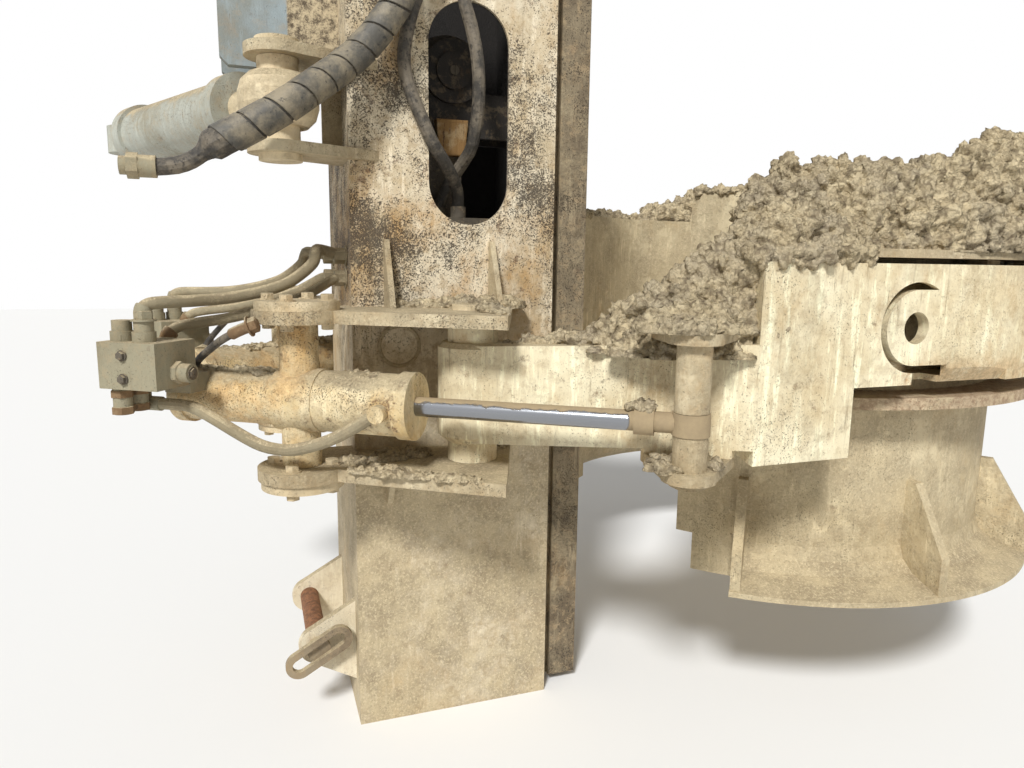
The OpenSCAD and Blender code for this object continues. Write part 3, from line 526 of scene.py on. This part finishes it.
def heap(name, body, lumps, voxel, clod=0.035, crumb=0.016, base=None, seed=1):
    """One mass of soil from round lumps (x, y, z, across x, across y, height) in mm, cut off
    level with base. It is remeshed with voxels of the given size, and clods and crumbs are the
    sizes of its pieces, in metres."""
    chance = random.Random(seed)
    bpy.ops.object.select_all(action="DESELECT")
    parts = []
    for x, y, z, rx, ry, rz in lumps:
        bpy.ops.mesh.primitive_ico_sphere_add(subdivisions=3, radius=1, location=at(x, y, z),
                                              rotation=(0, 0, chance.uniform(0, 3)))
        part = bpy.context.view_layer.objects.active
        part.scale = (rx / 1000, ry / 1000, rz / 1000)
        part.rotation_euler = (0, 0, chance.uniform(-0.3, 0.3))
        bpy.ops.object.transform_apply(location=True, rotation=True, scale=True)
        parts.append(part)
    bpy.ops.object.select_all(action="DESELECT")
    for part in parts:
        part.select_set(True)
    bpy.context.view_layer.objects.active = parts[0]
    if len(parts) > 1:
        bpy.ops.object.join()
    made = bpy.context.view_layer.objects.active
    made.name = name
    merge = made.modifiers.new("merge", "REMESH")
    merge.mode = "VOXEL"
    merge.voxel_size = voxel
    for label, kind, size, strength in (("clods", "CLOUDS", clod * 1.6, clod),
                                        ("lumps", "VORONOI", crumb * 2.2, -crumb * 2.0),
                                        ("crumbs", "VORONOI", crumb * 1.0, -crumb * 0.9),
                                        ("grit", "CLOUDS", crumb * 0.4, crumb * 0.7)):
        pattern = bpy.data.textures.new(name + "_" + label, kind)
        pattern.noise_scale = size
        shift = made.modifiers.new(label, "DISPLACE")
        shift.texture = pattern
        shift.texture_coords = "LOCAL"
        shift.strength = strength
        shift.mid_level = 0.5
    apply_all(made)
    if base is not None:
        bpy.ops.object.mode_set(mode="EDIT")
        bpy.ops.mesh.select_all(action="SELECT")
        bpy.ops.mesh.bisect(plane_co=(0, 0, base / 1000 + foot), plane_no=(0, 0, 1),
                            use_fill=True, clear_inner=True)
        bpy.ops.object.mode_set(mode="OBJECT")
    bpy.ops.object.shade_smooth()
    coat(made, soil)
    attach(made, body)


def along_line(points, step, across, height, seed):
    """Lumps strung along a line of (x, y, z, size share) points in mm."""
    chance = random.Random(seed)
    lumps = []
    for a, b in zip(points, points[1:]):
        gap = (Vector(b[:3]) - Vector(a[:3])).length
        count = max(1, round(gap / step))
        for i in range(count):
            t = i / count
            x, y, z, share = (a[k] + (b[k] - a[k]) * t for k in range(4))
            size = share * (1 + chance.uniform(-0.35, 0.35))
            lumps.append((x + chance.uniform(-1, 1) * across * 0.25,
                          y + chance.uniform(-1, 1) * across * 0.25, z,
                          across * size, across * size * chance.uniform(0.8, 1.1),
                          height * size))
    return lumps


def mirrored(points, side):
    """Points or lumps of the near side, put on the side of 1, near, or -1, far."""
    return [(point[0], point[1] * side, *point[2:]) for point in points]


# Sizes and places on the near side, in mm from the mast's middle and above the foot. A bed is a
# level just under the steel's upper face, where the soil on it starts.
halves = ((1, "near"), (-1, "far"))
arm_bed, frame_bed, ledge_bed = 1080, 1285, 1318
upper_plate_top, lower_plate_top, plate_thick = 1164, 788, 30
guide_x, guide_top, wall_r = 1180, 1470, 683
hinge_x, hinge_y, trunnion_x, trunnion_y = 0, -400, -413, -340
for side, word in halves:
    # The heap that climbs along the arm and the side frame to the top of the ledge.
    ridge = [(90, -450, 1092), (133, -470, 1098), (190, -530, 1110), (249, -600, 1142),
             (324, -650, 1215), (421, -690, 1262), (496, -705, 1325), (560, -705, 1368),
             (620, -690, 1410), (680, -680, 1450)]
    chance = random.Random(5 + side)
    lumps = []
    for a, b in zip(ridge, ridge[1:]):
        for i in range(4):
            x, y, top = (a[k] + (b[k] - a[k]) * i / 4 for k in range(3))
            base = arm_bed if x < 500 else arm_bed + (frame_bed - arm_bed) * min(1, (x - 500) / 60)
            high = top - base
            for share, wide in ((1.0, 0.3), (0.62, 0.42), (0.25, 0.5)):
                size = max(26, high * wide) * chance.uniform(0.85, 1.15)
                spread = (1 - share) * min(high, 120) * 0.55
                lumps.append((x + chance.uniform(-1, 1) * spread,
                              y + chance.uniform(-1, 1) * spread,
                              base + high * share - size * 0.85, size, size, size * 0.9))
    lumps += [
        (486, -742, 1130, 52, 40, 60), (496, -752, 1190, 54, 42, 66),
        (512, -764, 1246, 56, 42, 56), (545, -784, 1288, 56, 42, 44),
        (590, -806, 1300, 52, 36, 36), (640, -810, 1304, 52, 34, 34),
        (690, -812, 1306, 50, 34, 32), (745, -812, 1308, 48, 32, 32),
        (795, -812, 1312, 44, 30, 28), (600, -770, 1335, 70, 50, 50),
        (670, -760, 1352, 70, 60, 56), (740, -770, 1345, 66, 46, 48),
        (560, -740, 1320, 66, 60, 56), (440, -728, 1140, 60, 50, 56),
        (395, -690, 1135, 56, 46, 50)]
    heap("arm_soil_" + word, "arm_" + word, mirrored(lumps, side),
         voxel=0.0055 if side > 0 else 0.010, base=arm_bed - 2, seed=5 + side)

    # The wall of soil round the ledge, by degrees from the guide's front and its height, lower on
    # the far side, and a thin crust on the guide's own edge.
    tops = [(-131, 1500), (-126, 1540), (-109, 1552), (-102, 1522), (-93, 1588), (-78, 1640),
            (-60, 1640), (-40, 1580), (-20, 1520), (-8, 1490)]
    ring = []
    for a, b in zip(tops, tops[1:]):
        count = max(1, round((b[0] - a[0]) / 3.5))
        for i in range(count):
            angle = math.radians(a[0] + (b[0] - a[0]) * i / count)
            top = a[1] + (b[1] - a[1]) * i / count + chance.uniform(-14, 6)
            top -= 45 if side < 0 else 0
            for r, z, size, tall in ((748, top - 62, 44, 62), (756, (top + 1330) / 2, 50, 76),
                                     (772, 1395, 50, 56), (784, 1345, 44, 48)):
                r += chance.uniform(-3, 12)
                ring.append((guide_x + r * math.cos(angle), r * math.sin(angle) * side,
                             z + chance.uniform(-10, 10), size, size, tall))
    heap("ledge_soil_" + word, "arm_" + word, ring, voxel=0.006 if side > 0 else 0.011,
         base=ledge_bed, seed=9 + side)
    rim = [(guide_x + wall_r * math.cos(math.radians(degree)),
            wall_r * math.sin(math.radians(degree)) * side, guide_top + 4, 15, 15,
            chance.uniform(8, 20))
           for degree in range(-144, -128)]
    heap("wall_crust_" + word, "arm_" + word, rim, voxel=0.006, clod=0.010, crumb=0.008)

    # Thin soil on the two bracket plates, clear of the hinge and of the trunnion caps.
    level = upper_plate_top + 2
    upper = along_line([(150, -262, level, 0.8), (60, -290, level, 0.9), (20, -440, level, 0.7),
                        (8, -600, level, 0.6)], 30, 44, 20, 31 + side)
    upper += along_line([(130, -290, level, 1.0), (30, -310, level, 1.0), (-70, -300, level, 0.8),
                         (-180, -270, level, 0.5)], 26, 46, 24, 33 + side)
    heap("bracket_soil_" + word, "mast", mirrored(upper, side), voxel=0.006, clod=0.014,
         crumb=0.009, base=upper_plate_top - 4)
    level = lower_plate_top + 2
    lower = along_line([(130, -262, level, 0.7), (60, -330, level, 0.8), (-60, -330, level, 0.9),
                        (-180, -330, level, 0.8), (-300, -370, level, 0.7)], 26, 50, 18, 41 + side)
    lower = [lump for lump in lower
             if math.hypot(lump[0] - hinge_x, lump[1] - hinge_y) > 118
             and math.hypot(lump[0] - trunnion_x, lump[1] - trunnion_y) > 120]
    lower += along_line([(-292, -440, 786, 0.7), (-200, -502, 787, 1.0), (-110, -562, 786, 0.8),
                         (-36, -606, 786, 0.9)], 20, 24, 17, 45 + side)
    heap("lower_soil_" + word, "mast", mirrored(lower, side), voxel=0.006, clod=0.014,
         crumb=0.009, base=lower_plate_top - 4)


# Feed hoses from the valve block of each opening cylinder to the back of the mast: rubber under
# a coat of tan dust, screwed into elbows on the block and into nipples on the mast's rear plate.


def picked(made, test):
    """Selects the faces of a mesh in edit mode for which test(centre, normal) holds."""
    bpy.ops.mesh.select_all(action="DESELECT")
    bpy.ops.object.mode_set(mode="OBJECT")
    for polygon in made.data.polygons:
        polygon.select = test(polygon.center, polygon.normal)
    bpy.ops.object.mode_set(mode="EDIT")


def hex_head(radius, height, washer=True):
    """A hexagon head with a chamfered top, on its washer or without one, at the origin."""
    bpy.ops.object.select_all(action="DESELECT")
    bpy.ops.mesh.primitive_cylinder_add(vertices=6, radius=radius, depth=height,
                                        location=(0, 0, height / 2 + 0.003))
    head = bpy.context.view_layer.objects.active
    bpy.ops.object.transform_apply(location=True, rotation=True, scale=True)
    bpy.ops.object.mode_set(mode="EDIT")
    bpy.ops.mesh.select_mode(type="FACE")
    picked(head, lambda centre, normal: normal.z > 0.9)
    bpy.ops.mesh.inset(thickness=radius * 0.14)
    bpy.ops.transform.translate(value=(0, 0, radius * 0.08))
    bpy.ops.object.mode_set(mode="OBJECT")
    if not washer:
        return head
    bpy.ops.object.select_all(action="DESELECT")
    bpy.ops.mesh.primitive_cylinder_add(vertices=16, radius=radius * 1.3, depth=0.0035,
                                        location=(0, 0, 0.00125))
    bpy.ops.object.transform_apply(location=True, rotation=True, scale=True)
    head.select_set(True)
    bpy.context.view_layer.objects.active = head
    bpy.ops.object.join()
    return head


def set_out(name, body, model, places, material):
    """Copies of a model at (point, direction) places, as one piece; the model is used up."""
    copies = []
    for point, direction in places:
        copy = model.copy()
        copy.data = model.data.copy()
        bpy.context.scene.collection.objects.link(copy)
        copy.rotation_euler = Vector(direction).to_track_quat("Z", "Y").to_euler()
        copy.location = point
        copies.append(copy)
    bpy.data.objects.remove(model)
    bpy.ops.object.select_all(action="DESELECT")
    for copy in copies:
        copy.select_set(True)
    bpy.context.view_layer.objects.active = copies[0]
    bpy.ops.object.transform_apply(location=True, rotation=True, scale=True)
    if len(copies) > 1:
        bpy.ops.object.join()
    made = bpy.context.view_layer.objects.active
    made.name = name
    coat(made, material)
    bpy.ops.object.shade_smooth_by_angle(angle=math.radians(35))
    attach(made, body)


fitting = weathered("brass_fitting", colour(120, 94, 64), colour(94, 74, 52), 0.3, 0.1, 0.3, 0.3)
feeds = {
    "upper": (0.029, [(-741, -348, 1146), (-741, -346, 1166), (-731, -340, 1177),
                      (-707, -330, 1181), (-628, -280, 1183), (-563, -250, 1188),
                      (-494, -235, 1201), (-435, -230, 1220), (-398, -225, 1243),
                      (-366, -220, 1272), (-358, -208, 1294), (-352, -186, 1306),
                      (-330, -166, 1304), (-300, -158, 1296), (-272, -156, 1292)]),
    "lower": (0.026, [(-706, -268, 1080), (-700, -262, 1104), (-680, -254, 1120),
                      (-640, -246, 1128), (-566, -226, 1138), (-472, -204, 1160),
                      (-389, -180, 1188), (-340, -170, 1214), (-312, -160, 1230),
                      (-290, -150, 1234), (-272, -148, 1234)]),
}
for side, word in halves:
    for label, (thick, path) in feeds.items():
        line = smooth(metres(mirrored(path, side)), 5)
        hose = sweep("feed_" + label + "_" + word, line, thick / 2, sleeve)
        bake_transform(hose)
        elbow = sweep("elbow_" + label + "_" + word, line[:8], 0.0185,
                      block if label == "upper" else fitting)
        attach(elbow, "barrel_" + word)
        set_out("nut_" + label + "_" + word, "barrel_" + word, hex_head(0.021, 0.018),
                [(line[0] - Vector((0, 0, 0.004)), (0, 0, 1))], block)
        set_out("nipple_" + label + "_" + word, "mast", hex_head(0.021, 0.026),
                [((-0.2765, line[-1][1], line[-1][2]), (-1, 0, 0))], sleeve)

# Hexagon bolts: four through each trunnion cap and its bracket plate, top and bottom, with nuts
# on the plates' inner faces, all dull with soil.
bolt_ring = 72
for side, word in halves:
    spots = []
    for degree in (67, 157, 247, 337):
        turn = math.radians(degree)
        x = trunnion_x + bolt_ring * math.cos(turn)
        y = (trunnion_y + bolt_ring * math.sin(turn)) * side
        for z, way in ((1185.5, 1), (736.5, -1), (lower_plate_top, 1),
                       (upper_plate_top - plate_thick, -1)):
            spots.append((at(x, y, z), (0, 0, way)))
    set_out("cap_bolts_" + word, "mast", hex_head(0.0165, 0.012), spots, cap)

# Screwed fittings of the valve blocks: two bolts through each block, hexagon collars on its end
# plugs, and brass unions with two nuts each on the ports underneath.
swing, rod_z = math.radians(-33.96), 949


def on_block(x, y, z, side):
    """A point in mm from the trunnion's middle and along the cylinder, which lies at the angle
    swing, in the frame in metres."""
    return at(trunnion_x + x * math.cos(swing) - y * math.sin(swing),
              (trunnion_y + x * math.sin(swing) + y * math.cos(swing)) * side, rod_z + z)


for side, word in halves:
    ahead = (math.cos(swing), math.sin(swing) * side, 0)
    behind = (-ahead[0], -ahead[1], 0)
    outward = (math.sin(swing), -math.cos(swing) * side, 0)
    set_out("block_bolts_" + word, "barrel_" + word, hex_head(0.0095, 0.007),
            [(on_block(-294, -230.5, z, side), outward) for z in (119, 67)], dark_steel)
    set_out("block_collars_" + word, "barrel_" + word, hex_head(0.026, 0.013, washer=False),
            [(on_block(-213, -164, 77, side), ahead), (on_block(-357, -164, 117, side), behind),
             (on_block(-326, -190, 146, side), (0, 0, 1))], block)
    set_out("block_sockets_" + word, "barrel_" + word, hex_head(0.0115, 0.003),
            [(on_block(-170.5, -164, 77, side), ahead),
             (on_block(-385.5, -164, 117, side), behind)], dark_steel)
    set_out("block_unions_" + word, "barrel_" + word, hex_head(0.0245, 0.016, washer=False),
            [(on_block(-332, y, z, side), (0, 0, 1)) for y in (-196, -146) for z in (17, -21)],
            fitting)

# Round inspection covers low on each side plate: a flat lid of the plate's own steel with a
# rolled ring welded round it.
for side, word in halves:
    bpy.ops.object.select_all(action="DESELECT")
    bpy.ops.mesh.primitive_torus_add(major_radius=0.052, minor_radius=0.005, major_segments=48,
                                     minor_segments=10)
    rim = bpy.context.view_layer.objects.active
    bpy.ops.object.mode_set(mode="EDIT")
    bpy.ops.mesh.select_all(action="SELECT")
    bpy.ops.transform.resize(value=(1, 1, 0.7))
    bpy.ops.object.mode_set(mode="OBJECT")
    set_out("cover_rim_" + word, "mast", rim,
            [(at(-156, -255 * side, 1062), (0, -side, 0))], plate)

# Dark folded steel sheet inside the window, behind the hoses, fixed to the sheave's frame: painted
# shade, a dark sheet that fills the window where only shade shows through it.
shade_sheet_middle = at(-94, -50, 1518)
bpy.ops.object.select_all(action="DESELECT")
bpy.ops.mesh.primitive_cube_add(size=1, location=shade_sheet_middle)
shade_sheet = bpy.context.view_layer.objects.active
shade_sheet.name = "window_shade_sheet"
bpy.ops.object.mode_set(mode="EDIT")
bpy.ops.transform.resize(value=(0.320, 0.004, 0.244), center_override=shade_sheet_middle)
bpy.ops.mesh.select_all(action="SELECT")
bpy.ops.mesh.bisect(plane_co=at(62, 0, 0), plane_no=(1, 0, 0))
bpy.ops.mesh.select_mode(type="FACE")
picked(shade_sheet, lambda centre, normal: normal.y > 0.9 and centre.x > 0.061)
bpy.ops.mesh.extrude_region_move(TRANSFORM_OT_translate={"value": (0, 0.028, 0)})
bpy.ops.object.mode_set(mode="OBJECT")
bpy.ops.object.transform_apply(location=True, rotation=True, scale=True)
soften = shade_sheet.modifiers.new("edge", "BEVEL")
soften.width, soften.segments = 0.001, 2
apply_all(shade_sheet)
coat(shade_sheet, dark_steel)
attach(shade_sheet, "mast")

# Rubbing block under the sheave, which the rope runs against: worn hardwood with a sunk front
# face, narrower towards its lower end.
hardwood, tree, shader = finish("worn_hardwood", 0.85)
fibre = cloud(tree, 60, 8, 0.8, (1.6, 1.6, 0.12))
face = over(tree, fibre, colour(182, 142, 88), colour(130, 95, 54))
face = over(tree, band(tree, cloud(tree, 110, 6, 0.8, (1.4, 1.4, 0.1)), 0.56, 0.64), face,
            colour(74, 46, 30))
face = over(tree, band(tree, cloud(tree, 12, 8, 0.75), 0.52, 0.66, 0.8), face,
            colour(196, 170, 128))
tree.links.new(face, shader.inputs["Base Color"])
tree.links.new(relief(tree, fibre, 0.003), shader.inputs["Normal"])
chock_middle = at(28, -86, 1620)
bpy.ops.object.select_all(action="DESELECT")
bpy.ops.mesh.primitive_cube_add(size=1, location=chock_middle)
chock = bpy.context.view_layer.objects.active
chock.name = "rubbing_block"
bpy.ops.object.mode_set(mode="EDIT")
bpy.ops.transform.resize(value=(0.092, 0.026, 0.096), center_override=chock_middle)
bpy.ops.mesh.select_mode(type="FACE")
picked(chock, lambda centre, normal: normal.z < -0.9)
bpy.ops.transform.resize(value=(0.8, 0.8, 1), center_override=at(28, -76, 1572))
picked(chock, lambda centre, normal: normal.y < -0.9)
bpy.ops.mesh.inset(thickness=0.006)
bpy.ops.transform.translate(value=(0, -0.002, 0))
bpy.ops.object.mode_set(mode="OBJECT")
bpy.ops.object.transform_apply(location=True, rotation=True, scale=True)
soften = chock.modifiers.new("edge", "BEVEL")
soften.width, soften.segments = 0.002, 2
apply_all(chock)
coat(chock, hardwood)
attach(chock, "mast")

# Slotted screws in the two ends of the sheave's axle, which hold it in its frame: turned steel
# heads with a milled slot.
bpy.ops.object.select_all(action="DESELECT")
bpy.ops.mesh.primitive_cylinder_add(vertices=32, radius=0.013, depth=0.006)
screw_head = bpy.context.view_layer.objects.active
bpy.ops.object.mode_set(mode="EDIT")
bpy.ops.mesh.select_mode(type="FACE")
for edge in (-0.002, 0.002):
    bpy.ops.mesh.select_all(action="SELECT")
    bpy.ops.mesh.bisect(plane_co=(edge, 0, 0), plane_no=(1, 0, 0))
picked(screw_head, lambda centre, normal: normal.z > 0.9 and abs(centre.x) < 0.0015)
bpy.ops.mesh.extrude_region_move(TRANSFORM_OT_translate={"value": (0, 0, -0.003)})
bpy.ops.object.mode_set(mode="OBJECT")
set_out("axle_screws", "mast", screw_head,
        [(at(34, -98 * side, 1797), (0, -side, 0)) for side in (1, -1)], header)

# Small pilot hose from a port on top of the opening cylinder's tube, over the tube and past the
# valve block, to the upper bracket plate, with a crimped end and a nut.
pilot_path = [(-662, -172, 1002), (-654, -194, 1018), (-638, -244, 1042), (-612, -308, 1070),
              (-584, -364, 1096), (-558, -400, 1114), (-536, -418, 1126), (-515, -424, 1134)]
for side, word in halves:
    line = smooth(metres(mirrored(pilot_path, side)), 5)
    pilot = sweep("pilot_" + word, line, 0.009, rubber)
    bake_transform(pilot)
    crimp = sweep("crimp_" + word, line[-11:], 0.0135, fitting)
    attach(crimp, "mast")
    aim = line[-1] - line[-6]
    set_out("crimp_nut_" + word, "mast", hex_head(0.018, 0.016), [(line[-3], aim)], fitting)
    set_out("port_nut_" + word, "barrel_" + word, hex_head(0.016, 0.014),
            [(line[3], line[5] - line[0])], sleeve)

# Soil on the opening cylinder's tube, on the two lug plates, round the rod's eye and on the
# clevis: the same crumbs in thinner heaps, clear of the pins. beam_way is the near arm's
# direction, seen from above.
lug_x, lug_y, upper_lug_top, lower_lug_top = 345, -850, 1142, 850
beam_way = (0.8387, -0.5446)
for side, word in halves:
    run = [(trunnion_x + out * math.cos(swing), trunnion_y + out * math.sin(swing), 1010, share)
           for out, share in ((-280, 0.5), (-180, 0.7), (-90, 0.8), (90, 0.8), (180, 1.0),
                              (270, 1.0))]
    tube = along_line(run, 26, 34, 12, 51 + side)
    heap("tube_soil_" + word, "barrel_" + word, mirrored(tube, side), voxel=0.006, clod=0.010,
         crumb=0.008)
    pads = [(lug_x + dx, (lug_y + dy) * side, upper_lug_top + 6, 40, 34, high)
            for dx, dy, high in ((-88, 40, 26), (-60, 10, 30), (-52, 60, 42), (0, 70, 58),
                                 (0, 10, 34), (48, 66, 62), (52, 14, 38), (86, 44, 48),
                                 (92, 84, 60), (-20, 40, 46), (24, 40, 52), (-4, -34, 24),
                                 (44, -24, 26), (-40, -20, 24))]
    heap("lug_soil_" + word, "arm_" + word, pads, voxel=0.005, clod=0.016, crumb=0.010,
         base=upper_lug_top - 2)
    low = [(lug_x + dx, (lug_y + dy) * side, lower_lug_top + 3, 30, 28, 16)
           for dx, dy in ((-62, 30), (-52, 0), (-30, 60), (30, 66), (60, 36), (62, 0))]
    heap("lug_soil_low_" + word, "arm_" + word, low, voxel=0.006, clod=0.014, crumb=0.010,
         base=lower_lug_top - 2)
for side, word in halves:
    clots = [(lug_x - beam_way[0] * back, (lug_y - 1 - beam_way[1] * back) * side, rod_z + up,
              17, 15, tall)
             for back, up, tall in ((88, 30, 20), (98, 32, 17), (112, 33, 14), (128, 32, 10))]
    heap("eye_soil_" + word, "rod_" + word, clots, voxel=0.005, clod=0.012, crumb=0.008)
clevis = along_line([(-340, -240, 1766, 0.8), (-400, -250, 1767, 0.9), (-470, -255, 1767, 0.8),
                     (-440, -300, 1767, 0.7)], 24, 34, 13, 61)
heap("clevis_soil", "mast", clevis, voxel=0.006, clod=0.010, crumb=0.008, base=1762)
